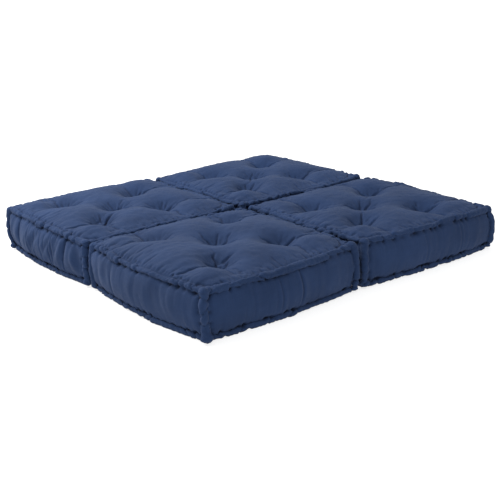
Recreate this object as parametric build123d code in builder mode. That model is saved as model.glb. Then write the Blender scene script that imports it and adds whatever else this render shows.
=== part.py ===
"""Floor cushion in four equal tufted squares, laid two by two.

Each square is a stuffed block in a sewn cover: a top panel, a bottom panel and four side bands, with a hand-rolled
edge along every one of the twelve edges, and five ties that pull the top and the bottom together.
The origin is on the floor under the middle of the four. +X is right, +Y is back and +Z is up. Millimetres.
"""

from build123d import *
import os

# Driving dimensions
CUSHION = 600  # one square cushion, over its rolled edges
SPACING = 14  # clear space between neighbouring cushions
SEAM_HEIGHT = 158  # floor to the top of the upper rolled edges
LOFT = 22  # how far the stuffing stands above the upper rolled edges
ROLL = 22  # diameter of a rolled edge
CLOTH = 1.2  # thickness of the cotton canvas
EASE = 0.4  # room between pieces that lie on each other
BAND_BULGE = 14  # how far a side band bows out between its two seams
SHOULDER = 38  # radius where the top turns down to its seam
TUFT_REACH = 140  # from the middle of a cushion to an outer tuft, along X and along Y
TUFT_DEPTH = 27  # how deep a tie pulls the top down
TUFT_WIDTH = 120  # the width of that dimple
FOOT_DIMPLE = 5  # how deep the same tie pulls the bottom up
FOOT_DIMPLE_WIDTH = 56
TWINE = 3  # diameter of the tufting twine
KNOT = 9  # diameter of its knots
KNOT_HEIGHT = 3.6
KNOT_ROOM = 2  # flat cloth round each knot
THREAD = 1.6  # diameter of the waxed thread that holds the rolled edges
THREAD_INSET = 3  # from the middle of a rolled edge in to its thread
THREAD_DROP = 12.5  # and from its middle towards the band
UPRIGHT_INSET = 9  # from the middle of a corner's rolled edge in to its thread, along X and along Y
TRAY = 6  # height of the bottom panel's turned-up rim
TRAY_RADIUS = 5
CORNER_DOME = 6  # radius on the ends of a corner's rolled edge

# Worked out from them
ROLL_RADIUS = ROLL / 2
ROLL_LINE = CUSHION / 2 - ROLL_RADIUS  # from the middle of a cushion to the middle of a rolled edge
SPAN_HALF = ROLL_LINE - ROLL_RADIUS - EASE  # half the room between two opposite rolled edges
UPPER_ROLL = SEAM_HEIGHT - ROLL_RADIUS  # height of the middle of an upper rolled edge
TOP = SEAM_HEIGHT + LOFT  # highest point of the cover
MIDDLE = SEAM_HEIGHT / 2  # height of a band's middle
BAND_SEAM = ROLL_LINE - ROLL_RADIUS / 2  # where a band's outer face meets its seams
BAND_HALF = MIDDLE - ROLL - EASE  # from a band's middle up to its seam
BAND_RADIUS = (BAND_HALF**2 + BAND_BULGE**2) / (2 * BAND_BULGE)
BAND_CENTRE = BAND_SEAM + BAND_BULGE - BAND_RADIUS
HOLE_RADIUS = TWINE / 2 + EASE
DIMPLE_FLOOR = KNOT / 2 + KNOT_ROOM  # radius of the flat middle of a dimple
TIE_FLOOR = TOP - TUFT_DEPTH  # height of the cloth under an upper knot

TUFTS = [(0, 0)] + [(x, y) for x in (-TUFT_REACH, TUFT_REACH) for y in (-TUFT_REACH, TUFT_REACH)]
QUARTERS = (0, 90, 180, 270)
PITCH = (CUSHION + SPACING) / 2
PLACES = {
    "front_left": (-PITCH, -PITCH),
    "front_right": (PITCH, -PITCH),
    "back_left": (-PITCH, PITCH),
    "back_right": (PITCH, PITCH),
}


def dimpled_block(inset):
    """The stuffed block with its shoulders and upper dimples, every face moved in by inset."""
    top = TOP - inset
    with BuildPart() as block:
        with BuildSketch(Plane.XY.offset(inset)):
            Rectangle(2 * (SPAN_HALF - inset), 2 * (SPAN_HALF - inset))
        extrude(amount=top - inset)
        fillet(block.faces().sort_by(Axis.Z)[-1].edges(), SHOULDER - inset)
        with Locations([(x, y, top - TUFT_DEPTH / 2) for x, y in TUFTS]):
            Cone(DIMPLE_FLOOR, TUFT_WIDTH / 2, TUFT_DEPTH, mode=Mode.SUBTRACT)
    return block.part


def underside_dimples(lift):
    """The five shallow cones that the ties pull into the bottom, moved up by lift."""
    with BuildPart() as cones:
        with Locations([(x, y, lift + FOOT_DIMPLE / 2) for x, y in TUFTS]):
            Cone(FOOT_DIMPLE_WIDTH / 2, DIMPLE_FLOOR, FOOT_DIMPLE)
    return cones.part


def tie_holes():
    """The five narrow channels that the twine passes through."""
    with BuildPart() as holes:
        with Locations([(x, y, 0) for x, y in TUFTS]):
            Cylinder(HOLE_RADIUS, 2 * TOP, align=(Align.CENTER, Align.CENTER, Align.MIN))
    return holes.part


def make_top_panel():
    """The domed top of the cover, down to the middle of its rolled edges."""
    with BuildPart() as panel:
        add(dimpled_block(0))
        add(dimpled_block(CLOTH), mode=Mode.SUBTRACT)
        split(bisect_by=Plane.XY.offset(UPPER_ROLL))
        add(tie_holes(), mode=Mode.SUBTRACT)
    return panel.part


def tray(inset):
    """The flat underside with its rim turned up, every face moved in by inset."""
    with BuildPart() as block:
        with BuildSketch(Plane.XY.offset(inset)):
            Rectangle(2 * (SPAN_HALF - inset), 2 * (SPAN_HALF - inset))
        extrude(amount=TRAY)
        fillet(block.faces().sort_by(Axis.Z)[0].edges(), TRAY_RADIUS - inset)
        add(underside_dimples(inset), mode=Mode.SUBTRACT)
    return block.part


def make_bottom_panel():
    """The flat bottom of the cover, with its rim turned up."""
    with BuildPart() as panel:
        add(tray(0))
        add(tray(CLOTH), mode=Mode.SUBTRACT)
        add(tie_holes(), mode=Mode.SUBTRACT)
    return panel.part


def band_arc(inset, half):
    """The bowed edge of a band's section, moved in by inset and reaching half above and below its middle."""
    radius = BAND_RADIUS - inset
    end = BAND_CENTRE + (radius**2 - half**2) ** 0.5
    return ThreePointArc((end, MIDDLE - half), (BAND_CENTRE + radius, MIDDLE), (end, MIDDLE + half))


def make_band():
    """The band on the right side; the other three are this one turned."""
    with BuildPart() as band:
        with BuildSketch(Plane.XZ):
            with BuildLine():
                outer = band_arc(0, BAND_HALF)
                inner = band_arc(CLOTH, BAND_HALF)
                Line(outer @ 0, inner @ 0)
                Line(outer @ 1, inner @ 1)
            make_face()
        extrude(amount=SPAN_HALF, both=True)
    return band.part


def make_fibre_fill():
    """The stuffing: a block with bowed sides, a little inside the cover."""
    inset = CLOTH + EASE
    side = SPAN_HALF - inset
    reach = ((BAND_RADIUS - inset) ** 2 - (side - BAND_CENTRE) ** 2) ** 0.5
    with BuildPart() as bow:
        with BuildSketch(Plane.XZ):
            with BuildLine():
                arc = band_arc(inset, reach)
                Polyline(arc @ 0, (0, MIDDLE - reach), (0, MIDDLE + reach), arc @ 1)
            make_face()
        extrude(amount=side, both=True)
    with BuildPart() as fill:
        add(dimpled_block(inset))
        fillet(fill.faces().sort_by(Axis.Z)[0].edges(), TRAY_RADIUS - inset)
        for turn in QUARTERS:
            add(bow.part, rotation=(0, 0, turn))
        add(underside_dimples(inset), mode=Mode.SUBTRACT)
        add(tie_holes(), mode=Mode.SUBTRACT)
    return fill.part


def make_rolled_edges(height):
    """The four straight rolled edges round the upper or the lower seam."""
    with BuildPart() as edges:
        for turn in QUARTERS:
            with Locations(Location((0, 0, height), (0, 0, turn)) * Location((ROLL_LINE, 0, 0))):
                Cylinder(ROLL_RADIUS, 2 * SPAN_HALF, rotation=(90, 0, 0))
    return edges.part


def make_corner_edges():
    """The four upright rolled edges, each from the floor to the level of the upper seam."""
    with BuildPart() as edges:
        with GridLocations(2 * ROLL_LINE, 2 * ROLL_LINE, 2, 2):
            Cylinder(ROLL_RADIUS, SEAM_HEIGHT, align=(Align.CENTER, Align.CENTER, Align.MIN))
        fillet(edges.edges().filter_by(GeomType.CIRCLE), CORNER_DOME)
    return edges.part


def make_edge_thread():
    """The waxed thread behind each rolled edge: four upper runs, four lower runs and four uprights."""
    line = ROLL_LINE - THREAD_INSET
    corner = ROLL_LINE - UPRIGHT_INSET
    upright = 2 * BAND_HALF - ROLL
    with BuildPart() as thread:
        for turn in QUARTERS:
            for height in (UPPER_ROLL - THREAD_DROP, ROLL_RADIUS + THREAD_DROP):
                with Locations(Location((0, 0, height), (0, 0, turn)) * Location((line, 0, 0))):
                    Cylinder(THREAD / 2, 2 * (SPAN_HALF - ROLL_RADIUS), rotation=(90, 0, 0))
        with GridLocations(2 * corner, 2 * corner, 2, 2):
            with Locations((0, 0, MIDDLE)):
                Cylinder(THREAD / 2, upright)
    return thread.part


def make_tuft_ties():
    """Five ties: twine through the stuffing with a knot at each end, sunk in its dimple."""
    low_knot = FOOT_DIMPLE - EASE - KNOT_HEIGHT / 2
    high_knot = TIE_FLOOR + EASE + KNOT_HEIGHT / 2
    with BuildPart() as ties:
        for x, y in TUFTS:
            with Locations((x, y, (low_knot + high_knot) / 2)):
                Cylinder(TWINE / 2, high_knot - low_knot)
            with Locations((x, y, low_knot), (x, y, high_knot)):
                Cylinder(KNOT / 2, KNOT_HEIGHT)
    return ties.part


band = make_band()
pieces = {
    "fibre_fill": make_fibre_fill(),
    "top_panel": make_top_panel(),
    "bottom_panel": make_bottom_panel(),
    "right_band": band,
    "back_band": band.rotate(Axis.Z, 90),
    "left_band": band.rotate(Axis.Z, 180),
    "front_band": band.rotate(Axis.Z, 270),
    "top_rolled_edges": make_rolled_edges(UPPER_ROLL),
    "bottom_rolled_edges": make_rolled_edges(ROLL_RADIUS),
    "corner_rolled_edges": make_corner_edges(),
    "edge_thread": make_edge_thread(),
    "tuft_ties": make_tuft_ties(),
}

os.makedirs("parts", exist_ok=True)
for place, (x, y) in PLACES.items():
    for name, piece in pieces.items():
        placed = piece.moved(Location((x, y, 0)))
        placed.label = f"{place}_{name}"
        export_step(placed, f"parts/{placed.label}.step")
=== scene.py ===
import math

import bmesh
import bpy
import numpy as np
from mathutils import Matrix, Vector


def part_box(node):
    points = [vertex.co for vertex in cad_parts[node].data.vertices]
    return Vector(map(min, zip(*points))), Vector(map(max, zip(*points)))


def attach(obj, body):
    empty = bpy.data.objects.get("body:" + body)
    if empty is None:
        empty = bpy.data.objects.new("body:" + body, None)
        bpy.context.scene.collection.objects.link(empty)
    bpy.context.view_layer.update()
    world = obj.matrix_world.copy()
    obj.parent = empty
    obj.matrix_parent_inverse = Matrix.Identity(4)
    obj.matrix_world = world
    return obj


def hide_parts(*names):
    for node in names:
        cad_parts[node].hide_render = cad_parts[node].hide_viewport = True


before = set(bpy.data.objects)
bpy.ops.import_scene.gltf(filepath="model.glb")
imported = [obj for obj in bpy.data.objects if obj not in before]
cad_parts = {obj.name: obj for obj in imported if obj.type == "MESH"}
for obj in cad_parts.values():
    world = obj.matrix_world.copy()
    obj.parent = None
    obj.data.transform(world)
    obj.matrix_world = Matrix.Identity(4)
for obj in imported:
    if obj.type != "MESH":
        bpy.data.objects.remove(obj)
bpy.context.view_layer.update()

# Sizes that are not the frame's, in metres ---------------------------------------------------------------------------

STEP = 0.005  # spacing of the simulated grid
FINE_STEP = 0.00315  # spacing of the finished mesh
SINK = 0.046  # how deep a tie holds the top down below the swells
FUNNEL = 0.052  # radius at which a tie's hold on the top has halved
FUNNEL_POWER = 2.6  # how suddenly it gives way there
TIE_HOLD = 0.0065  # radius of the cloth that a tie keeps still
SEAM_INSET = {"top": 0.004, "bottom": 0.008}  # how far the cover's seams lie inside the line of the rolled edges
SEAM_LIFT = {"top": 0.0045, "bottom": 0.0}  # how far above the middle of the rolled edges they run
SEAM_STRAY = {"top": (0.0022, 0.0024), "bottom": (0.0022, 0.0004)}  # how far an edge strays sideways, and up
GROOVE = 0.003  # flat cloth between a seam and where the stuffing starts to swell it
CORNER_TUCK = 0.008  # how far a corner sits in from the frame's seam line
OUTER_BOW = 0.018  # how far a free side bows out between its corners
INNER_BOW = 0.011  # the same for a side with a neighbour
OUTER_BULGE = 0.019  # how far a free side's band swells past its seams
INNER_BULGE = 0.010  # the same for a band with a neighbour
UPRIGHT_BOW = 0.010  # how far a corner's rolled edge bows out
UPRIGHT_STRAY = 0.0022  # and strays on its way up
UPRIGHT_FOOT = 0.004  # height at which it starts
FOOT_TURN = 0.006  # how far its foot turns out, except where FEET says otherwise
FLOOR_GAP = 0.0004  # how far the rolled edges stay above the floor
UNDER_GAP = 0.0012  # and the underside
THREAD = 0.0009  # radius of the sewing thread
TWINE = 0.0014  # radius of the tufting twine
KNOT_RADIUS = 0.0045  # radius of the frame's knots
KNOT_ARM = 0.006  # half the length of a loop of twine over a tuft
KNOT_LIFT, KNOT_ARCH = 0.001, 0.0022  # how far its ends stand above the sunk cloth, and its middle above them
KNOT_TURNS = (0.4, 2.0)  # which way the two loops of a knot lie
TWINE_FOOT = 0.005  # height of the lower end of the twine
FOOT_DIMPLE = (0.005, 0.018)  # height and width of the dimple that a tie pulls into the underside
PATCH_WELD, TUBE_WELD = 0.0002, 0.0003  # open edges nearer to each other than this are sewn together

# How the stuffing fills the top
SHOULDER = {"near": 0.122, "far": 0.150}  # distance from its near and far seams at which it stands at full height
FULLNESS = {"side": 2.1, "front": 1.45, "far": 2.3}  # how steeply it rises from them
SQUARENESS = 2.4  # how square the swell is in plan
MIDDLE_VALLEY = (0.003, 0.042)  # depth and width of the furrows from the middle tie to the others
EDGE_VALLEY = (0.010, 0.034)  # and of those from an outer tie to the two seams near it
VALLEY_TURN = 1.15  # how far these lean towards the corner
DROOP_REACH = 0.4  # how far a droop of the top seam spreads, in half widths

# The cloth simulation
SIM_ROUNDS = 260
DAMPING = 0.92  # share of its speed that a point keeps from one round to the next
SHEAR, BEND = 0.25, 0.12  # stiffness across the threads, and against folding, where a thread's own is 1
FURTHEST = 0.007  # no point moves further than this from where it started
TOP_PUSH, BAND_PUSH = 0.000025, 0.00004  # how far the stuffing pushes the cloth in one round

# The stitches
STITCH = 0.027  # mean distance between them
STITCH_RANGE = (0.65, 1.4)  # shortest and longest, against the mean
RUN_START, RUN_END = 0.016, 0.012  # room left at the two ends of an edge
TIGHT_SHARE = 0.5  # share of them that are pulled tight
TIGHT_PULL, LOOSE_PULL = (0.9, 1.2), (0.15, 0.5)  # how hard tight ones and loose ones are pulled
TIGHT = 0.6  # pull above which a stitch parts two stretches of a rolled edge
PIT_AWAY = 0.0130  # from the middle of a rolled edge across the band to the pits at its stitches
PIT_DEPTH, PIT_WIDTH = (0.005, 0.011), (0.005, 0.014)  # of a pit, at least and at most
CREASE_AWAY = 0.0125  # from the same middle to the soft crease beside the edge
CREASE_DEPTH = {"top": 0.0038, "upright": 0.0035}  # of that crease, under the top edge and beside a corner's
TUCKS = {"dent": 0.0026, "crease": 0.0020, "band": 0.0018, "corner": 0.0038}  # what a stitch pulled by 1 draws in
THREAD_AWAY = {"top": -0.0122, "bottom": 0.0122}  # from the same middle up to where the thread shows
THREAD_OUT = 0.0015  # and outwards to it
UPRIGHT_THREAD = (0.0115, -0.003)  # the same at a corner, sideways and outwards

# The rolled edges: how thick they are against the frame's, which way the cloth pulls on them, and how deep a tight
# stitch cuts in. The knobs are how much thicker the lower and upper ends are
ROLLS = {
    "top": {"plump": 0.92, "tilt": 0.7, "notch": 0.0085},
    "bottom": {"plump": 0.94, "tilt": -0.7, "notch": 0.0050, "floor": FLOOR_GAP},
    "upright": {"plump": 1.16, "tilt": 0.0, "notch": 0.0045, "floor": FLOOR_GAP, "uneven": 0.10, "knobs": (0.22, 0.18)},
}
ROLL_UNEVEN = {
    "top": {"front": 0.23, "right": 0.13, "back": 0.13, "left": 0.23},
    "bottom": {"front": 0.09, "right": 0.09, "back": 0.09, "left": 0.09},
}
ROLL_INSET = {"top": 0.0, "bottom": 0.004}  # how far they lie inside the frame's
ROLL_DROP = {"top": 0.0, "bottom": 0.0010}  # and below them
UPRIGHT_TOP = {-1: 1.3, 1: 0.95}  # how far a front or back upright reaches above the top seam, in radii of the roll
OVAL, TRIANGULAR = 0.0007, 0.0005  # how far they are from round
NOTCH_WIDTH = (0.0035, 0.006)  # of the cut of a stitch, at least and at most
PANEL_NOTCH = 0.0014  # how much deeper it is where the edge meets the panels
ASLANT = 0.013  # how far the thread slants on its way round, at most
THINNEST = 0.53  # no stitch draws one in to less than this share of the frame's radius
AROUND = 25  # points round a rolled edge

# Which way each side faces, and the corners at its left and right end as seen from outside
FACING = {"front": (0, -1), "right": (1, 0), "back": (0, 1), "left": (-1, 0)}
ENDS = {
    "front": ((-1, -1), (1, -1)),
    "right": ((1, -1), (1, 1)),
    "back": ((1, 1), (-1, 1)),
    "left": ((-1, 1), (-1, -1)),
}
SIDES = tuple(FACING)
DIAGONALS = [(i, j) for i in (-1, 1) for j in (-1, 1)]

# Ripples in the top that start at a seam: height, samples a cell down the columns and along the rows, and how far
# they reach in. The coarse ones are there before the simulation, the fine ones come after it
COARSE_GATHERS = {"left": (0.0016, 2.4, 14, 0.10), "front": (0.0008, 9, 2.2, 0.06), "right": (0.0008, 2.2, 9, 0.06),
                  "back": (0.0008, 9, 2.2, 0.06)}
FINE_GATHERS = {"left": (0.0007, 2.6, 18, 0.07), "front": (0.0005, 18, 2.6, 0.05), "right": (0.0005, 2.6, 18, 0.05),
                "back": (0.0005, 18, 2.6, 0.05)}
PLEAT_WAVES = (8, 11, 13, 16, 19, 22)  # numbers of pleats round a tie, which are mixed
PLEAT_HEIGHT = (0.0006, 0.0011)  # how high they stand, at least and at most
PLEAT_START, PLEAT_END = 0.022, 0.056  # distance from the tie where they are full, and where they have died away
# Upright folds in a band: height, share of extra cloth along it, and width in samples
BAND_FOLDS = {"left": (0.0038, 0.034, 6), "front": (0.0021, 0.018, 11), "right": (0.0022, 0.035, 11),
              "back": (0.0020, 0.03, 11)}
USUAL_LEAN = 0.25  # how far they lean, in columns a row
RUMPLES = {"top": 0.0006, "top_fine": 0.0004, "band": 0.0005, "band_fine": 0.0003, "roll": 0.0008}  # all over them

# How each cushion differs -------------------------------------------------------------------------------------------

PLACES = ("front_left", "front_right", "back_left", "back_right")
FIRST_SEED = 11  # the first cushion's; each other one has the next
# Where its corners have been pulled to, by (left or right, front or back)
CORNERS = {
    "front_left": {(-1, -1): (0.006, -0.014), (-1, 1): (-0.004, 0.003), (1, -1): (-0.004, 0.003)},
    "front_right": {(-1, -1): (-0.003, 0.002), (-1, 1): (0.002, -0.001), (1, -1): (0.008, 0.0)},
    "back_left": {(-1, -1): (-0.006, 0.005), (1, 1): (0.003, -0.002), (-1, 1): (-0.004, -0.001)},
    "back_right": {(-1, 1): (0.008, -0.006), (1, -1): (-0.005, 0.004)},
}
# How far a side bows out, where it isn't OUTER_BOW or INNER_BOW
BOWS = {"front_left": {"left": 0.020}, "back_left": {"left": 0.010}}
# How much further its lower seam bows out than its upper one
SPREAD = {"front_left": {"left": 0.007}, "back_left": {"left": 0.014}}
# Where the foot of a corner's rolled edge has been dragged to, where it is further than the others
FEET = {("front_left", -1, -1): (-0.009, -0.018), ("front_right", 1, -1): (0.009, 0.003),
        ("back_left", -1, 1): (-0.010, -0.014), ("back_left", -1, -1): (-0.010, -0.012)}
# How high its stuffing stands, against the frame's
LOFT = {"front_left": 1.29, "front_right": 1.04, "back_left": 1.22, "back_right": 1.22}
# How high the pleats round its ties stand, against the usual
PLEATS = {"front_left": 0.5, "front_right": 0.42, "back_left": 1.1, "back_right": 0.4}
# How far its top seam hangs down round (u, v), or stands up where it is less than 0
DROOPS = {"front_left": {(-1, -1): 0.002, (-1, -0.2): -0.004},
          "front_right": {(1, -1): 0.008, (1, -0.25): 0.008, (1, 1): -0.002},
          "back_left": {(-1, -1): 0.006, (1, 1): -0.003}, "back_right": {(1, -1): -0.004, (1, 1): -0.002}}
# How full of folds its bands are
FOLDS = {"front_left": 0.85, "front_right": 1.1, "back_left": 1.35, "back_right": 1.0}
# How far a band's folds lean, where it is more than USUAL_LEAN
LEAN = {("back_left", "left"): 1.3}
# Upright creases in its bands: how far along, and how deep
CREASES = {("front_left", "front"): ((0.44, 0.0022), (0.58, 0.0030), (0.27, 0.0008)),
           ("front_right", "front"): ((0.42, 0.0010), (0.71, 0.0012)),
           ("back_left", "left"): ((0.35, 0.0022), (0.52, 0.0015), (0.66, 0.0025))}
# How far its ties have wandered: the middle one, then front left, back left, front right, back right
TUFT_SHIFTS = {
    "front_left": [(-0.014, 0.007), (0.013, -0.018), (0.002, 0.020), (-0.022, 0.008), (0.000, 0.021)],
    "front_right": [(-0.026, -0.006), (-0.008, 0.008), (-0.016, -0.038), (-0.045, -0.018), (-0.026, -0.034)],
    "back_left": [(-0.030, -0.018), (-0.006, 0.004), (-0.010, -0.004), (-0.052, 0.006), (-0.026, -0.046)],
    "back_right": [(-0.025, -0.006), (0.001, 0.008), (0.002, -0.034), (-0.048, 0.010), (-0.020, -0.026)],
}


# Grids of points ----------------------------------------------------------------------------------------------------

def cubic(n_in, n_out):
    """Matrix that resamples n_in evenly spaced values to n_out with smooth (Catmull-Rom) weights."""
    m = np.zeros((n_out, n_in))
    t = np.linspace(0, n_in - 1, n_out)
    i = np.minimum(t.astype(int), n_in - 2)
    f = t - i
    weights = (
        (-f + 2 * f**2 - f**3) / 2,
        (2 - 5 * f**2 + 3 * f**3) / 2,
        (f + 4 * f**2 - 3 * f**3) / 2,
        (f**3 - f**2) / 2,
    )
    rows = np.arange(n_out)
    for k, w in enumerate(weights):
        np.add.at(m, (rows, np.clip(i + k - 1, 0, n_in - 1)), w)
    return m


def resample(p, rows, cols):
    """The same grid of values or points with that many rows and columns."""
    p = np.tensordot(cubic(p.shape[0], rows), p, 1)
    return np.moveaxis(np.tensordot(cubic(p.shape[1], cols), p, (1, 1)), 0, 1)


def noise(rng, rows, cols, cell_rows, cell_cols):
    """Smooth noise of about -1 to 1, with cells of that many samples."""
    coarse = rng.uniform(-1, 1, (max(2, round(rows / cell_rows) + 1), max(2, round(cols / cell_cols) + 1)))
    return resample(coarse, rows, cols)


def line_noise(rng, count, cell):
    """The same along a line."""
    return noise(rng, count, 2, cell, 1)[:, 0]


def normals(p):
    """Unit normals of a grid of points, on the side where columns cross rows."""
    du, dv = np.gradient(p, axis=1), np.gradient(p, axis=0)
    n = np.cross(du, dv)
    return n / np.maximum(np.linalg.norm(n, axis=2, keepdims=True), 1e-12)


def smoothstep(x):
    """0 up to 0 and 1 from 1 on, with a smooth rise between them."""
    x = np.clip(x, 0, 1)
    return x * x * (3 - 2 * x)


def bell(x, width):
    """1 where x is 0, dying away on both sides."""
    return np.exp(-((x / width) ** 2))


def fade(distance, reach):
    """1 where the distance is 0, dying away with it."""
    return np.exp(-distance / reach)


def relax(p, free, slack_rows, slack_cols, push, cap):
    """Cloth simulation of one sewn panel: threads that keep their length, held where free is 0, over stuffing that
    pushes out. Slack is the share of extra cloth, down the columns and along the rows. No point moves further than
    cap."""
    start, was = p.copy(), p.copy()
    w = free[..., None]
    sets = []

    def add(dr, dc, slack, stiffness, period_r, period_c):
        """Threads from each point to the one dr rows and dc columns on, in sets that share no point."""
        rows, cols = p.shape[:2]
        for r0 in range(period_r):
            for c0 in range(period_c):
                ri = np.arange(rows - dr)
                ci = np.arange(cols - abs(dc))
                ri = ri[(ri // dr) % 2 == r0] if period_r > 1 else ri
                ci = ci[(ci // dc) % 2 == c0] if period_c > 1 else ci
                first = max(-dc, 0)
                a = np.ix_(ri, ci + first)
                b = np.ix_(ri + dr, ci + first + dc)
                rest = np.linalg.norm(start[b] - start[a], axis=2) * (1 + 0.5 * (slack[a] + slack[b]))
                share = w[a] + w[b]
                keep = np.where(share > 0, stiffness / np.maximum(share, 1e-9), 0)
                sets.append((a, b, rest[..., None], w[a] * keep, w[b] * keep))

    both = (slack_rows + slack_cols) / 2
    add(1, 0, slack_rows, 1.0, 2, 1)
    add(0, 1, slack_cols, 1.0, 1, 2)
    add(1, 1, both, SHEAR, 2, 1)
    add(1, -1, both, SHEAR, 2, 1)
    add(2, 0, slack_rows, BEND, 2, 1)
    add(0, 2, slack_cols, BEND, 1, 2)
    for _ in range(SIM_ROUNDS):
        drift = (p - was) * DAMPING
        was = p.copy()
        p = p + w * (drift + push * normals(p))
        for a, b, rest, wa, wb in sets:
            d = p[b] - p[a]
            length = np.linalg.norm(d, axis=2, keepdims=True)
            d *= (length - rest) / np.maximum(length, 1e-9)
            p[a] += wa * d
            p[b] -= wb * d
        moved = p - start
        far = np.linalg.norm(moved, axis=2, keepdims=True)
        p = start + moved * np.minimum(1, cap / np.maximum(far, 1e-9))
    return p


class Cushion:
    """Where one cushion's seams, tufts and stitches are. u and v run from -1 to 1 across it."""

    def __init__(self, place, seed):
        self.place = place
        self.rng = np.random.default_rng(seed)
        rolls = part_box(f"{place}_top_rolled_edges")
        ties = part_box(f"{place}_tuft_ties")
        self.roll = (rolls[1].z - rolls[0].z) / 2
        self.line = (rolls[1].x - rolls[0].x) / 2 - self.roll
        self.centre = np.array([(rolls[0].x + rolls[1].x) / 2, (rolls[0].y + rolls[1].y) / 2])
        self.seam = {"top": (rolls[0].z + rolls[1].z) / 2, "bottom": self.roll}
        self.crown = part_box(f"{place}_top_panel")[1].z
        self.reach = (ties[1].x - ties[0].x) / 2 - KNOT_RADIUS
        self.count = round(2 * self.line / STEP) + 1
        self.fine = round(2 * self.line / FINE_STEP) + 1
        self.rows = round((self.seam["top"] - self.seam["bottom"]) / STEP) + 1
        self.fine_rows = round((self.seam["top"] - self.seam["bottom"]) / FINE_STEP) + 1
        self.height = self.seam["top"] + SEAM_LIFT["top"] - self.seam["bottom"]
        inner = {side: self.centre @ FACING[side] < 0 for side in SIDES}
        self.bow = {side: (INNER_BOW if inner[side] else OUTER_BOW) for side in SIDES}
        self.bow.update(BOWS.get(place, {}))
        self.bulge = {side: (INNER_BULGE if inner[side] else OUTER_BULGE) for side in SIDES}
        self.corner = {}
        for i, j in DIAGONALS:
            shift = CORNERS[place].get((i, j), (0, 0))
            self.corner[i, j] = (self.line - CORNER_TUCK) * np.array([i, j]) + np.array(shift)
        hold = np.sin(np.linspace(0, np.pi, self.count)) ** 0.5
        self.wave = {}
        for level in ("top", "bottom"):
            for side in SIDES:
                out = line_noise(self.rng, self.count, 14) * SEAM_STRAY[level][0] * hold
                up = line_noise(self.rng, self.count, 12) * SEAM_STRAY[level][1] * hold
                self.wave[level, side] = out, up
        self.stitches = {}
        for level in ("top", "bottom"):
            for side in SIDES:
                self.stitches[level, side] = self.places_along(2 * self.line, STITCH)
        for i, j in DIAGONALS:
            self.stitches[i, j] = self.places_along(self.seam["top"], 1.1 * STITCH)
        self.tufts = [(0.0, 0.0)] + [(i * self.reach, j * self.reach) for i, j in DIAGONALS]
        self.tufts = [(x + dx, y + dy) for (x, y), (dx, dy) in zip(self.tufts, TUFT_SHIFTS[place])]

    def moved(self, grid):
        """A copy of a grid, moved from the middle of the cushion to where the cushion lies."""
        grid = grid.copy()
        grid[..., :2] += self.centre
        return grid

    def places_along(self, length, spacing):
        """Stitches along a run as (distance from its start, how hard it is pulled)."""
        at, found = RUN_START, []
        while at < length - RUN_END:
            tight = self.rng.random() < TIGHT_SHARE
            found.append((at, self.rng.uniform(*(TIGHT_PULL if tight else LOOSE_PULL))))
            at += spacing * self.rng.uniform(*STITCH_RANGE)
        return found

    def plan(self, u, v, inset=0.0, level="top"):
        """Where (u, v) lies in plan: between the four corners, with every side bowed, and drawn in by the inset."""
        bow = {side: self.bow[side] for side in SIDES}
        if level == "bottom":
            for side, further in SPREAD.get(self.place, {}).items():
                bow[side] += further
        xy = sum((((1 + i * u) / 2) * ((1 + j * v) / 2))[..., None] * self.corner[i, j] for i, j in DIAGONALS)
        x = (1 - v**2) * ((1 + u) / 2 * bow["right"] - (1 - u) / 2 * bow["left"])
        y = (1 - u**2) * ((1 + v) / 2 * bow["back"] - (1 - v) / 2 * bow["front"])
        inward = np.stack([u * (1 - 0.7 * v**8), v * (1 - 0.7 * u**8)], -1)  # less of it at the corners
        return xy + np.stack([x, y], -1) - inset * inward

    def droop(self, u, v):
        """How far the top seam hangs below its level at (u, v)."""
        return sum(
            depth * bell(u - at_u, DROOP_REACH) * bell(v - at_v, DROOP_REACH)
            for (at_u, at_v), depth in DROOPS[self.place].items()
        )

    def seam_path(self, level, side, inset=0.0, lift=0.0):
        """The middle of a rolled edge, or a line inset from it, left to right as seen from outside that side. With it
        comes the direction that the side faces."""
        u, v = (np.linspace(first, last, self.count) for first, last in zip(*ENDS[side]))
        stray, up = self.wave[level, side]
        xy = self.plan(u, v, inset, level) + stray[:, None] * np.array(FACING[side])
        z = self.seam[level] + lift + up - (self.droop(u, v) if level == "top" else 0)
        return np.concatenate([xy, z[:, None]], 1), np.array([*FACING[side], 0.0])

    def panel_grid(self, level):
        """A flat grid inside that level's seams, drawn to them at its edges. Row 0 is the front, column 0 the left."""
        n = self.count
        u, v = np.meshgrid(np.linspace(-1, 1, n), np.linspace(-1, 1, n))
        inset, lift = SEAM_INSET[level], SEAM_LIFT[level]
        flat = np.concatenate([self.plan(u, v, inset, level), np.full((n, n, 1), self.seam[level] + lift)], 2)
        if level == "top":
            flat[..., 2] -= self.droop(u, v)
        front, right, back, left = (self.seam_path(level, side, inset, lift)[0] for side in SIDES)

        def share(x):
            """How much of an edge's stray is left at a point, from its place across the panel."""
            return ((1 + x) / 2)[..., None] ** 6

        flat = flat + share(-v) * (front - flat[0])[None] + share(v) * (back[::-1] - flat[-1])[None]
        return flat + share(-u) * (left[::-1] - flat[:, 0])[:, None] + share(u) * (right - flat[:, -1])[:, None]

    def from_seams(self, n):
        """Distance of each point of an n by n panel from its four seams, and from the nearest one."""
        a = self.line - CORNER_TUCK - SEAM_INSET["top"]
        u, v = np.meshgrid(np.linspace(-1, 1, n), np.linspace(-1, 1, n))
        d = {"left": a * (1 + u), "right": a * (1 - u), "front": a * (1 + v), "back": a * (1 - v)}
        return d, np.min(list(d.values()), axis=0)

    def along(self, p, side):
        """How far along a side each point of p lies, from its left end as seen from outside."""
        x, y = FACING[side]
        return self.line - y * p[..., 0] + x * p[..., 1]

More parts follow.
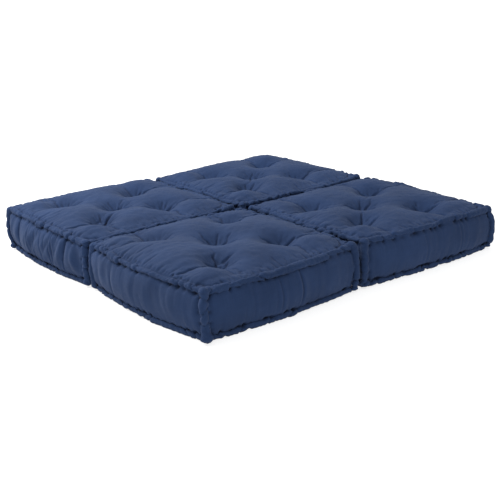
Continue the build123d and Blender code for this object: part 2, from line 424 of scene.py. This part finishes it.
    def gathers(self, d, table):
        """Ripples that start at the seams, for a panel whose points lie d from them."""
        return sum(
            height * noise(self.rng, *d[side].shape, cell_rows, cell_cols) * fade(d[side], reach)
            for side, (height, cell_rows, cell_cols, reach) in table.items()
        )

    @staticmethod
    def valley(p, a, b, depth, width):
        """A furrow from a to b, nothing at its ends and some way off it."""
        a, b = np.array(a), np.array(b)
        line = b - a
        t = np.clip(((p[..., :2] - a) @ line) / (line @ line), 0, 1)
        off = np.linalg.norm(p[..., :2] - a - t[..., None] * line, axis=2)
        return depth * (bell(off, width) * np.sin(np.pi * t) ** 0.5)

    def top_start(self):
        """The top panel before it is relaxed: domed, dimpled, with the first hint of its gathers. With it come where
        it is free to move, and its slack down the columns and along the rows."""
        p = self.panel_grid("top")
        rng, n = self.rng, self.count
        d, ends = self.from_seams(n)

        def rise(near, far, fullness):
            """How high the stuffing stands between two opposite seams, from 0 at them to 1."""
            near = np.clip((near - GROOVE) / SHOULDER["near"], 0, 1)
            far = np.clip((far - GROOVE) / SHOULDER["far"], 0, 1)
            return (1 - (1 - near) ** fullness) * (1 - (1 - far) ** FULLNESS["far"])

        short = (1 - rise(d["left"], d["right"], FULLNESS["side"])) ** SQUARENESS
        short += (1 - rise(d["front"], d["back"], FULLNESS["front"])) ** SQUARENESS
        z = (self.crown - self.seam["top"] - SEAM_LIFT["top"]) * (1 - np.minimum(short, 1) ** (1 / SQUARENESS))
        z *= LOFT[self.place] + 0.08 * noise(rng, n, n, 30, 30)
        gathered, dent = np.zeros((n, n)), np.zeros((n, n))
        free = np.zeros((n, n))
        free[1:-1, 1:-1] = 1
        for x, y in self.tufts:
            r = np.hypot(p[..., 0] - x, p[..., 1] - y)
            dent += SINK / (1 + (r / FUNNEL) ** FUNNEL_POWER)
            gathered += bell(r, 0.05)
            free[r < TIE_HOLD] = 0
        for x, y in self.tufts[1:]:
            dent += self.valley(p, self.tufts[0], (x, y), *MIDDLE_VALLEY)
            dent += self.valley(p, (x, y), (math.copysign(self.line, x), VALLEY_TURN * y), *EDGE_VALLEY)
            dent += self.valley(p, (x, y), (VALLEY_TURN * x, math.copysign(self.line, y)), *EDGE_VALLEY)
        p[..., 2] += z - dent * smoothstep(ends / 0.04)
        p[..., 2] += self.gathers(d, COARSE_GATHERS) * smoothstep(ends / 0.02)
        p[..., 2] += RUMPLES["top"] * noise(rng, n, n, 3, 3) * smoothstep(ends / 0.02)
        # Extra cloth, most of it near the seams and the ties
        slack_rows = 0.010 + 0.042 * fade(d["left"], 0.09) + 0.05 * fade(d["right"], 0.06) + 0.05 * gathered
        slack_cols = 0.012 + 0.035 * fade(d["front"], 0.06) + 0.05 * fade(d["back"], 0.06) + 0.05 * gathered
        return p, free, slack_rows, slack_cols

    def top(self):
        """The top panel. Row 0 is the front, column 0 the left."""
        p, free, slack_rows, slack_cols = self.top_start()
        front = self.from_seams(self.count)[0]["front"]
        cap = FURTHEST * (1 - 0.75 * bell(front, 0.04))[..., None]  # the front stays nearer to its start
        p = relax(p, free, slack_rows, slack_cols, TOP_PUSH, cap)
        return self.top_details(resample(p, self.fine, self.fine))

    def top_details(self, p):
        """What is finer than the simulated grid: pleats at the tufts, tucks at the seams, pits at the stitches."""
        rng, n = self.rng, self.fine
        d, ends = self.from_seams(n)
        bump = np.zeros((n, n))
        for x, y in self.tufts:
            dx, dy = p[..., 0] - x, p[..., 1] - y
            r, angle = np.hypot(dx, dy), np.arctan2(dy, dx)
            pleat = np.zeros((n, n))
            for waves in PLEAT_WAVES:
                strength, turn = rng.uniform(0.4, 1), rng.uniform(0, 6.3)
                pleat += strength * np.cos(waves * angle + turn + 1.5 * noise(rng, n, n, 19, 19))
            height = PLEATS[self.place] * rng.uniform(*PLEAT_HEIGHT)
            bump += height * pleat * np.clip(r / PLEAT_START, 0, 1) * np.exp(-((r / PLEAT_END) ** 3))
        bump += self.gathers(d, FINE_GATHERS)
        bump += RUMPLES["top_fine"] * noise(rng, n, n, 3.2, 3.2)
        for side in SIDES:
            along = self.along(p, side)
            for at, pull in self.stitches["top", side]:
                bump -= TUCKS["dent"] * pull * bell(along - at, 0.0085) * bell(d[side] - 0.006, 0.008)
                aslant = 0.12 * (rng.random() - 0.5) * d[side]
                bump -= TUCKS["crease"] * pull * bell(along - at - aslant, 0.0045) * fade(d[side], 0.028)
        return p + (bump * smoothstep(ends / 0.010))[..., None] * normals(p)

    def band(self, side):
        """One side band, row 0 at the bottom seam, columns left to right as seen from outside."""
        rng, cols, rows = self.rng, self.count, self.rows
        low, out = self.seam_path("bottom", side, SEAM_INSET["bottom"])
        high = self.seam_path("top", side, SEAM_INSET["top"], SEAM_LIFT["top"])[0]
        t = np.linspace(0, 1, rows)[:, None]
        p = low[None] * (1 - t[..., None]) + high[None] * t[..., None]
        run = np.linspace(0, 2 * self.line, cols)
        end = np.minimum(run, run[::-1])
        body = 1 - (1 - np.clip(end / 0.10, 0, 1)) ** 2.4
        swollen = np.clip((t * self.height - GROOVE) / (self.height - 2 * GROOVE), 0, 1)
        arch = 1 - (2 * swollen - 1) ** 2
        swell = self.bulge[side] * arch**1.05 * body * (1 + 0.12 * line_noise(rng, cols, 20))
        p = p + (swell + arch * UPRIGHT_BOW * (1 - body))[..., None] * out
        along = np.array([-out[1], out[0], 0.0])
        p = p + (arch * UPRIGHT_BOW * (fade(run[::-1], 0.02) - fade(run, 0.02)))[..., None] * along
        height, gather, width = BAND_FOLDS[side]
        lean = LEAN.get((self.place, side), USUAL_LEAN) * line_noise(rng, cols, 24)
        wave = self.leaning(noise(rng, rows, cols, 16, width), lean)
        wave += 0.4 * self.leaning(noise(rng, rows, cols, 12, 3), lean)
        p = p + (FOLDS[self.place] * height * wave * arch**0.5 * smoothstep(end / 0.03))[..., None] * out
        free = np.zeros((rows, cols))
        free[1:-1, 1:-1] = 1
        slack_cols = np.full((rows, cols), FOLDS[self.place] * gather)
        p = relax(p, free, np.full((rows, cols), 0.01), slack_cols, BAND_PUSH, FURTHEST)
        return self.band_details(resample(p, self.fine_rows, self.fine), side, out)

    @staticmethod
    def leaning(wave, lean):
        """The same noise with its ridges leaning along the band by so many columns a row."""
        rows, cols = wave.shape
        at = np.arange(cols)
        return np.stack([np.interp(at + lean * (row - rows / 2), at, wave[row]) for row in range(rows)])

    def band_details(self, p, side, out):
        """What is finer than the simulated grid: pits and tucks at the stitches, creases beside the rolled edges."""
        rng = self.rng
        rows, cols = p.shape[:2]
        t = np.linspace(0, 1, rows)[:, None]
        low, high = t * self.height, (1 - t) * self.height
        run = np.linspace(0, 2 * self.line, cols)[None]
        rest = 2 * self.line - run
        end = np.minimum(run, rest)
        bump = RUMPLES["band"] * noise(rng, rows, cols, 32, 4) + RUMPLES["band_fine"] * noise(rng, rows, cols, 4, 4)
        bump = bump * smoothstep(end / 0.02) * smoothstep(low / 0.012) * smoothstep(high / 0.012)
        for level, near in (("top", high), ("bottom", low)):
            for at, pull in self.stitches[level, side]:
                depth, wide = rng.uniform(*PIT_DEPTH) * pull, rng.uniform(*PIT_WIDTH)
                bump = bump - depth * bell(run - at, wide) * bell(near - PIT_AWAY - SEAM_LIFT[level], 0.006)
                tuck = TUCKS["band"] * pull * bell(run - at, 0.004)
                bump = bump - tuck * fade(near, 0.03) * smoothstep(near / 0.01)
        slack = 0.5 + 0.5 * line_noise(rng, cols, 9)
        bump = bump - CREASE_DEPTH["top"] * slack * bell(high - CREASE_AWAY - SEAM_LIFT["top"], 0.005)
        for share, depth in CREASES.get((self.place, side), ()):
            line = run - 2 * self.line * share - 0.004 * np.sin(5 * t)
            groove = bell(line, 0.0035) - 0.5 * bell(np.abs(line) - 0.010, 0.006)
            bump = bump - depth * groove * smoothstep(t / 0.35)
        z = low + self.seam["bottom"]
        for corner, near in zip(ENDS[side], (run, rest)):
            slack = 0.6 + 0.6 * line_noise(rng, rows, 7)[:, None]
            bump = bump - CREASE_DEPTH["upright"] * slack * bell(near - CREASE_AWAY, 0.005)
            for at, pull in self.stitches[corner]:
                bump = bump - TUCKS["corner"] * pull * bell(z - at, 0.0055) * bell(near - CREASE_AWAY, 0.0055)
        rim = np.minimum(end, np.minimum(low, high))
        return p + (bump * smoothstep(rim / 0.006))[..., None] * out

    def underside(self):
        """The bottom panel: flat on the floor, turned up at its seams and dimpled by the ties."""
        p = self.panel_grid("bottom")
        ends = self.from_seams(self.count)[1]
        flat = smoothstep(ends / 0.014)
        up = self.seam["bottom"] * (1 - flat) + UNDER_GAP * flat
        for x, y in self.tufts:
            up = up + FOOT_DIMPLE[0] * bell(np.hypot(p[..., 0] - x, p[..., 1] - y), FOOT_DIMPLE[1])
        p[1:-1, 1:-1, 2] = up[1:-1, 1:-1]
        return resample(p, self.fine, self.fine)


# Meshes -------------------------------------------------------------------------------------------------------------

def mesh_object(name, verts, quads, uvs, material):
    """A smooth-shaded object from arrays of points and four-cornered faces."""
    mesh = bpy.data.meshes.new(name)
    mesh.vertices.add(len(verts))
    mesh.vertices.foreach_set("co", np.asarray(verts, np.float32).ravel())
    mesh.loops.add(4 * len(quads))
    mesh.loops.foreach_set("vertex_index", np.asarray(quads, np.int32).ravel())
    mesh.polygons.add(len(quads))
    mesh.polygons.foreach_set("loop_start", np.arange(0, 4 * len(quads), 4, dtype=np.int32))
    mesh.polygons.foreach_set("loop_total", np.full(len(quads), 4, np.int32))
    layer = mesh.uv_layers.new(name="UVMap")
    layer.data.foreach_set("uv", np.asarray(uvs, np.float32).ravel())
    mesh.update(calc_edges=True)
    mesh.shade_smooth()
    obj = bpy.data.objects.new(name, mesh)
    bpy.context.scene.collection.objects.link(obj)
    mesh.materials.append(material)
    return obj


def grid_quads(rows, cols, first, flip):
    """The four-cornered faces of a grid whose first point has the number first."""
    i = np.arange(rows * cols).reshape(rows, cols) + first
    q = np.stack([i[:-1, :-1], i[:-1, 1:], i[1:, 1:], i[1:, :-1]], -1).reshape(-1, 4)
    return q[:, ::-1] if flip else q


def grid_uvs(p, quads, first):
    """UVs in metres of cloth, measured along the grid's rows and columns."""
    along = np.linalg.norm(np.diff(p, axis=1), axis=2).mean(0)
    across = np.linalg.norm(np.diff(p, axis=0), axis=2).mean(1)
    u = np.concatenate([[0], np.cumsum(along)])
    v = np.concatenate([[0], np.cumsum(across)])
    uv = np.stack(np.meshgrid(u, v), -1).reshape(-1, 2)
    return uv[(quads - first).ravel()]


def weld(obj, reach):
    """Sews open edges together where they lie within reach of each other."""
    bm = bmesh.new()
    bm.from_mesh(obj.data)
    bmesh.ops.remove_doubles(bm, verts=[v for v in bm.verts if v.is_boundary], dist=reach)
    bm.to_mesh(obj.data)
    bm.free()
    obj.data.shade_smooth()
    return obj


def patches_object(name, patches, material):
    """One mesh from several grids, sewn together where their edges meet."""
    verts, quads, uvs, first = [], [], [], 0
    for p, flip in patches:
        q = grid_quads(*p.shape[:2], first, flip)
        uvs.append(grid_uvs(p, q, first))
        verts.append(p.reshape(-1, 3))
        quads.append(q)
        first += p.shape[0] * p.shape[1]
    obj = mesh_object(name, np.concatenate(verts), np.concatenate(quads), np.concatenate(uvs), material)
    return weld(obj, PATCH_WELD)


def tube(path, side, radius, floor=None):
    """A closed tube round a path. Radius has a row for each path point and a column for each direction, from side
    round by way of up. Returns its points as a grid whose last column meets its first."""
    ahead = np.gradient(path, axis=0)
    ahead /= np.linalg.norm(ahead, axis=1, keepdims=True)
    side = side - (side * ahead).sum(1, keepdims=True) * ahead
    side /= np.linalg.norm(side, axis=1, keepdims=True)
    up = np.cross(side, ahead)
    angle = np.linspace(0, 2 * np.pi, radius.shape[1])
    ring = np.cos(angle)[None, :, None] * side[:, None] + np.sin(angle)[None, :, None] * up[:, None]
    p = path[:, None] + radius[..., None] * ring
    if floor is not None:
        p[..., 2] = np.maximum(p[..., 2], floor)
    return p


def tubes_object(name, grids, material):
    """One mesh from several closed tubes."""
    verts, quads, uvs, first = [], [], [], 0
    for p in grids:
        rows, cols = p.shape[:2]
        q = grid_quads(rows, cols, 0, True)
        uvs.append(grid_uvs(p, q, 0))
        wrap = q - (q % cols == cols - 1) * (cols - 1)
        keep = wrap // cols * (cols - 1) + wrap % cols
        quads.append(keep + first)
        verts.append(p[:, :-1].reshape(-1, 3))
        first += rows * (cols - 1)
    obj = mesh_object(name, np.concatenate(verts), np.concatenate(quads), np.concatenate(uvs), material)
    return weld(obj, TUBE_WELD)


def round_ends(radius, distance, size):
    """Draws the tube in to a rounded end within size of each end."""
    near = np.minimum(distance, distance[-1] - distance)
    t = np.clip(near / size, 0.0, 1)
    return radius * np.sqrt(np.maximum(1 - (1 - t) ** 2, 1e-4))[:, None]


def rolled(cushion, path, out, stitches, plump, tilt, notch, uneven, floor=None, knobs=(0.0, 0.0)):
    """The grid of one hand-rolled edge: a lumpy bolster, drawn in at its stitches, tightest where it meets the
    panels. With it come its middle line and the distance along that."""
    rng = cushion.rng
    n = 2 * len(path) - 1
    middle = resample(path[:, None].repeat(2, 1), n, 2)[:, 0]
    run = np.concatenate([[0], np.cumsum(np.linalg.norm(np.diff(middle, axis=0), axis=1))])
    tight = np.array([at for at, pull in stitches if pull > TIGHT])
    part = np.searchsorted(tight, run)
    kernel = np.hanning(7) / np.hanning(7).sum()

    def per_part(low, high):
        """A value for each stretch between tight stitches, run smoothly into the next."""
        values = rng.uniform(low, high, len(tight) + 1)[part]
        return np.convolve(np.pad(values, 3, mode="edge"), kernel, "valid")

    radius = np.full((n, AROUND), cushion.roll * plump) * per_part(0.95 - uneven, 0.95 + uneven)[:, None]
    angle = np.linspace(0, 2 * np.pi, AROUND)[None]
    radius *= 1 + 0.10 * line_noise(rng, n, 6)[:, None]  # lumps of stuffing
    skin = noise(rng, n, AROUND - 1, 2.6, 4)
    radius += RUMPLES["roll"] * np.concatenate([skin, skin[:, :1]], 1)
    # The cloth is rolled round it, so it isn't quite round, and it turns on its way along
    twist = per_part(0, 6.3)[:, None] + per_part(-90, 90)[:, None] * (run[:, None] % 0.1)
    radius += OVAL * np.cos(2 * angle + twist) + TRIANGULAR * np.cos(3 * angle - twist)
    inward = (1 - np.cos(angle - tilt)) / 2
    for at, pull in stitches:
        turn = rng.uniform(-ASLANT, ASLANT) * np.sin(angle)
        near = bell(run[:, None] - at - turn, rng.uniform(*NOTCH_WIDTH))
        radius -= near * (notch * pull**2 * (0.6 + 0.4 * inward) + PANEL_NOTCH * inward)
    radius = np.maximum(radius, THINNEST * cushion.roll)
    for share, end in zip(knobs, (run, run[-1] - run)):
        radius *= 1 + share * bell(end - 0.9 * cushion.roll, cushion.roll)[:, None]
    radius = round_ends(radius, run, 1.1 * cushion.roll)
    hold = np.sin(np.linspace(0, np.pi, n)) ** 0.4
    stray = 0.021 * uneven
    middle = middle + (per_part(-stray, stray) * hold)[:, None] * out
    if floor is None:
        middle[:, 2] += per_part(-0.7 * stray, 0.7 * stray) * hold
    return tube(middle, np.tile(out, (n, 1)), radius, floor), middle, run


def cord(path, side, distance, radius, around):
    """The grid of an even cord with rounded ends, given the distance along its path."""
    rows = len(path)
    return tube(path, np.tile(side, (rows, 1)), round_ends(np.full((rows, around), radius), distance, radius))


def thread_bits(path, run, out, stitches, offset):
    """Short dark runs of thread that dip in and out beside a rolled edge."""
    grids = []
    for at, pull in stitches:
        half = 0.0025 + 0.002 * pull
        if at + half > run[-1]:
            continue
        t = np.linspace(at - half, at + half, 9)
        line = np.stack([np.interp(t, run, path[:, k]) for k in range(3)], 1) + offset
        dip = ((t - at) / half) ** 2
        line = line - (0.003 + 0.002 * pull + 0.0028 * dip)[:, None] * out
        grids.append(cord(line, out, t - t[0], THREAD, 7))
    return grids


# Materials -----------------------------------------------------------------------------------------------------------

def put(node, values):
    """Sets sockets of a node by their names."""
    for name, value in values.items():
        node.inputs[name].default_value = value


def canvas(name, deep, worn, crease, weave, wear_and_highlight, hidden_to):
    """Matte woven cotton: threads crossing over and under, slubs, uneven dye, ridges paler from wear and painted
    highlight, folds darker from painted shade. Weave is how strong its threads stand out, wear_and_highlight how pale
    its ridges are, and hidden_to how open a fold must be to get the full painted shade."""
    m = bpy.data.materials.new(name)
    m.use_nodes = True
    nodes, links = m.node_tree.nodes, m.node_tree.links
    bsdf = nodes["Principled BSDF"]
    put(bsdf, {"Roughness": 0.92, "Specular IOR Level": 0.18})
    put(bsdf, {"Sheen Weight": 0.05, "Sheen Roughness": 0.45, "Sheen Tint": (0.55, 0.68, 1.0, 1)})
    uv = nodes.new("ShaderNodeUVMap")
    uv.uv_map = "UVMap"
    place = nodes.new("ShaderNodeTexCoord")

    def node(kind, **settings):
        n = nodes.new(kind)
        for key, value in settings.items():
            setattr(n, key, value)
        return n

    def math_node(operation, a, b):
        n = node("ShaderNodeMath", operation=operation)
        links.new(a, n.inputs[0])
        if isinstance(b, float):
            n.inputs[1].default_value = b
        else:
            links.new(b, n.inputs[1])
        return n.outputs[0]

    def map_range(source, low, high, to=1.0):
        n = node("ShaderNodeMapRange")
        put(n, {"From Min": low, "From Max": high, "To Max": to})
        links.new(source, n.inputs["Value"])
        return n.outputs["Result"]

    def scaled(source, scale):
        n = node("ShaderNodeMapping")
        n.inputs["Scale"].default_value = scale
        links.new(source, n.inputs["Vector"])
        return n.outputs[0]

    def fractal(source, scale, detail=2.0):
        n = node("ShaderNodeTexNoise")
        put(n, {"Scale": scale, "Detail": detail})
        links.new(source, n.inputs["Vector"])
        return n.outputs["Fac"]

    dye = fractal(place.outputs["Object"], 9.0, 4.0)
    warp_slub = fractal(scaled(uv.outputs[0], (900.0, 14.0, 1.0)), 1.0)
    weft_slub = fractal(scaled(uv.outputs[0], (14.0, 900.0, 1.0)), 1.0)
    slubs = math_node("ADD", warp_slub, weft_slub)
    tone = math_node("ADD", math_node("MULTIPLY", dye, 0.55), math_node("MULTIPLY", slubs, 0.32))
    ramp = node("ShaderNodeValToRGB")
    ramp.color_ramp.elements[0].position = 0.38
    ramp.color_ramp.elements[0].color = (*deep, 1)
    ramp.color_ramp.elements[1].position = 0.80
    ramp.color_ramp.elements[1].color = (*worn, 1)
    links.new(tone, ramp.inputs["Fac"])

    # Painted shade: concave folds and creases take the dark crease colour, less where ambient occlusion finds them shut
    # in
    geometry = node("ShaderNodeNewGeometry")
    fold = map_range(geometry.outputs["Pointiness"], 0.40, 0.50)
    painted_fold_shade = node("ShaderNodeMix", data_type="RGBA")
    painted_fold_shade.inputs["A"].default_value = (*crease, 1)
    hidden = node("ShaderNodeAmbientOcclusion", samples=6)
    hidden.inputs["Distance"].default_value = 0.020
    tight = map_range(hidden.outputs["AO"], 0.25, hidden_to)
    links.new(math_node("MULTIPLY", fold, tight), painted_fold_shade.inputs["Factor"])
    links.new(ramp.outputs["Color"], painted_fold_shade.inputs["B"])
    # Painted highlight mixed with wear: convex ridges and lumps of the cloth are painted paler
    ridge = map_range(geometry.outputs["Pointiness"], 0.51, 0.60, wear_and_highlight)
    ridge_wear_and_highlight = node("ShaderNodeMix", data_type="RGBA")
    ridge_wear_and_highlight.inputs["B"].default_value = (*[1.45 * c for c in worn], 1)
    links.new(ridge, ridge_wear_and_highlight.inputs["Factor"])
    links.new(painted_fold_shade.outputs["Result"], ridge_wear_and_highlight.inputs["A"])
    links.new(ridge_wear_and_highlight.outputs["Result"], bsdf.inputs["Base Color"])

    def threads(direction):
        n = node("ShaderNodeTexWave", wave_type="BANDS", bands_direction=direction)
        put(n, {"Scale": 1.0, "Distortion": 0.6, "Detail": 1.0})
        links.new(scaled(uv.outputs[0], (360.0, 360.0, 360.0)), n.inputs["Vector"])
        return n.outputs["Fac"]

    woven = math_node("MULTIPLY", threads("X"), threads("Y"))
    cloth = math_node("ADD", woven, math_node("MULTIPLY", slubs, 0.8))
    rumple = math_node("MULTIPLY", fractal(place.outputs["Object"], 90.0, 3.0), 1.6)
    bump = node("ShaderNodeBump")
    put(bump, {"Strength": weave, "Distance": 0.0006})
    links.new(math_node("ADD", cloth, rumple), bump.inputs["Height"])
    links.new(bump.outputs["Normal"], bsdf.inputs["Normal"])
    return m


def twisted(name, colour):
    """Waxed thread: darker and smoother than the cloth, with a spiral twist."""
    m = bpy.data.materials.new(name)
    m.use_nodes = True
    nodes, links = m.node_tree.nodes, m.node_tree.links
    bsdf = nodes["Principled BSDF"]
    put(bsdf, {"Roughness": 0.55, "Specular IOR Level": 0.35})
    uv = nodes.new("ShaderNodeUVMap")
    uv.uv_map = "UVMap"
    wave = nodes.new("ShaderNodeTexWave")
    wave.bands_direction = "DIAGONAL"
    wave.inputs["Scale"].default_value = 260.0
    links.new(uv.outputs[0], wave.inputs["Vector"])
    ramp = nodes.new("ShaderNodeValToRGB")
    ramp.color_ramp.elements[0].color = (*[0.6 * c for c in colour], 1)
    ramp.color_ramp.elements[1].color = (*colour, 1)
    links.new(wave.outputs["Fac"], ramp.inputs["Fac"])
    links.new(ramp.outputs["Color"], bsdf.inputs["Base Color"])
    bump = nodes.new("ShaderNodeBump")
    put(bump, {"Strength": 0.5, "Distance": 0.0003})
    links.new(wave.outputs["Fac"], bump.inputs["Height"])
    links.new(bump.outputs["Normal"], bsdf.inputs["Normal"])
    return m


NAVY_DEEP = (0.0088, 0.0212, 0.060)
NAVY = (0.0168, 0.0365, 0.097)
# colour of the painted shade in folds and creases
NAVY_FOLD_SHADE = (0.0034, 0.0074, 0.023)
cover_cloth = canvas("cotton_canvas", NAVY_DEEP, NAVY, NAVY_FOLD_SHADE, weave=0.25, wear_and_highlight=0.35, hidden_to=0.60)
roll_cloth = canvas("rolled_canvas", NAVY_DEEP, NAVY, NAVY_FOLD_SHADE, weave=0.35, wear_and_highlight=0.25, hidden_to=0.54)
thread_look = twisted("waxed_thread", (0.014, 0.022, 0.055))
twine_look = twisted("tufting_twine", (0.016, 0.025, 0.060))


# The cushions --------------------------------------------------------------------------------------------------------

def build(place, seed):
    """One cushion: its cover, its rolled edges, its stitches and its ties."""
    c = Cushion(place, seed)
    cover = patches_object(
        f"{place}_cover",
        [(c.moved(c.top()), False), (c.moved(c.underside()), True)] + [(c.moved(c.band(s)), False) for s in SIDES],
        cover_cloth,
    )
    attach(cover, place)
    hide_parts(*[f"{place}_{n}" for n in (
        "fibre_fill", "top_panel", "bottom_panel", "front_band", "back_band", "left_band", "right_band")])

    threads = []
    for level in ("top", "bottom"):
        grids = []
        for side in SIDES:
            path, out = c.seam_path(level, side, ROLL_INSET[level])
            path[:, 2] -= ROLL_DROP[level]
            stitches = c.stitches[level, side]
            grid, middle, run = rolled(c, path, out, stitches, uneven=ROLL_UNEVEN[level][side], **ROLLS[level])
            grids.append(c.moved(grid))
            away = np.array([0, 0, THREAD_AWAY[level]]) + THREAD_OUT * out
            threads += [c.moved(g) for g in thread_bits(middle, run, out, stitches, away)]
        rolls = tubes_object(f"{place}_{level}_rolls", grids, roll_cloth)
        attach(rolls, place)
        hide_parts(f"{place}_{level}_rolled_edges")

    grids = []
    for i, j in DIAGONALS:
        rows = c.rows + 4
        z = np.linspace(UPRIGHT_FOOT, c.seam["top"] + UPRIGHT_TOP[j] * c.roll, rows)
        t = np.clip((z - c.seam["bottom"]) / (c.seam["top"] - c.seam["bottom"]), 0, 1)
        out = np.array([i, j, 0.0]) / math.sqrt(2)
        away = UPRIGHT_BOW * math.sqrt(2) * (1 - (2 * t - 1) ** 2) + UPRIGHT_STRAY * line_noise(c.rng, rows, 5)
        path = np.concatenate([np.tile(c.corner[i, j], (rows, 1)), z[:, None]], 1) + away[:, None] * out
        path[:, :2] += bell(z, 0.030)[:, None] * FEET.get((place, i, j), FOOT_TURN * out[:2])
        path[:, 2] -= t * c.droop(i, j)
        stitches = c.stitches[i, j]
        grid, middle, run = rolled(c, path, out, stitches, **ROLLS["upright"])
        grids.append(c.moved(grid))
        for turn in (-1, 1):
            aside = np.array([-out[1], out[0], 0.0]) * turn
            away = UPRIGHT_THREAD[0] * aside + UPRIGHT_THREAD[1] * out
            threads += [c.moved(g) for g in thread_bits(middle, run, out, stitches, away)]
    corners = tubes_object(f"{place}_corner_rolls", grids, roll_cloth)
    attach(corners, place)
    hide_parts(f"{place}_corner_rolled_edges")

    stitching = tubes_object(f"{place}_stitches", threads, thread_look)
    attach(stitching, place)
    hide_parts(f"{place}_edge_thread")

    loops = []
    knot = c.crown - SINK + KNOT_LIFT
    for x, y in c.tufts:
        for turn in KNOT_TURNS:
            a = np.linspace(-1, 1, 13)
            ahead = np.array([math.cos(turn), math.sin(turn)])
            z = knot + KNOT_ARCH * (1 - a**2)
            path = np.stack([x + KNOT_ARM * ahead[0] * a, y + KNOT_ARM * ahead[1] * a, z], 1)
            loops.append(c.moved(cord(path, [-ahead[1], ahead[0], 0.0], KNOT_ARM * (a + 1), TWINE, 9)))
        z = np.linspace(TWINE_FOOT, knot, 5)
        path = np.stack([np.full(5, x), np.full(5, y), z], 1)
        loops.append(c.moved(cord(path, [1.0, 0.0, 0.0], z - z[0], TWINE, 9)))
    ties = tubes_object(f"{place}_tuft_ties_twine", loops, twine_look)
    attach(ties, place)
    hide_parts(f"{place}_tuft_ties")


for number, place in enumerate(PLACES):
    build(place, FIRST_SEED + number)


# Stage, light and camera ---------------------------------------------------------------------------------------------

def plain(name, colour, rough, glow):
    """A flat material without gloss, which glows a little."""
    m = bpy.data.materials.new(name)
    m.use_nodes = True
    bsdf = m.node_tree.nodes["Principled BSDF"]
    put(bsdf, {"Base Color": (*colour, 1), "Roughness": rough, "Specular IOR Level": 0.0})
    put(bsdf, {"Emission Color": (*colour, 1), "Emission Strength": glow})
    return m


bpy.ops.mesh.primitive_plane_add(size=200, location=(0, 0, 0))
floor = bpy.context.object
floor.name = "floor"
floor.data.materials.append(plain("floor_white", (0.40, 0.40, 0.40), 0.9, 1.9))

scene = bpy.context.scene
world = bpy.data.worlds.new("studio")
scene.world = world
world.use_nodes = True
put(world.node_tree.nodes["Background"], {"Color": (1.0, 1.0, 1.0, 1), "Strength": 0.92})

soft = bpy.data.lights.new("key_from_behind_left", "AREA")
soft.shape = "DISK"
soft.size = 1.6
soft.energy = 80
key = bpy.data.objects.new("key_from_behind_left", soft)
scene.collection.objects.link(key)
key.location = (-1.0, 1.3, 2.0)
key.rotation_euler = (Vector((0, 0, 0.1)) - key.location).to_track_quat("-Z", "Y").to_euler()
scene.view_settings.view_transform = "Standard"

# The camera stands where the frame's outline matches the photograph's
camera = bpy.data.cameras.new("camera")
camera.lens = 67.7
camera.sensor_width = 36
view = bpy.data.objects.new("camera", camera)
scene.collection.objects.link(view)
view.location = (-1.889, -2.542, 0.997)
view.rotation_euler = [math.radians(a) for a in (72.39, 2.16, -37.75)]
scene.camera = view
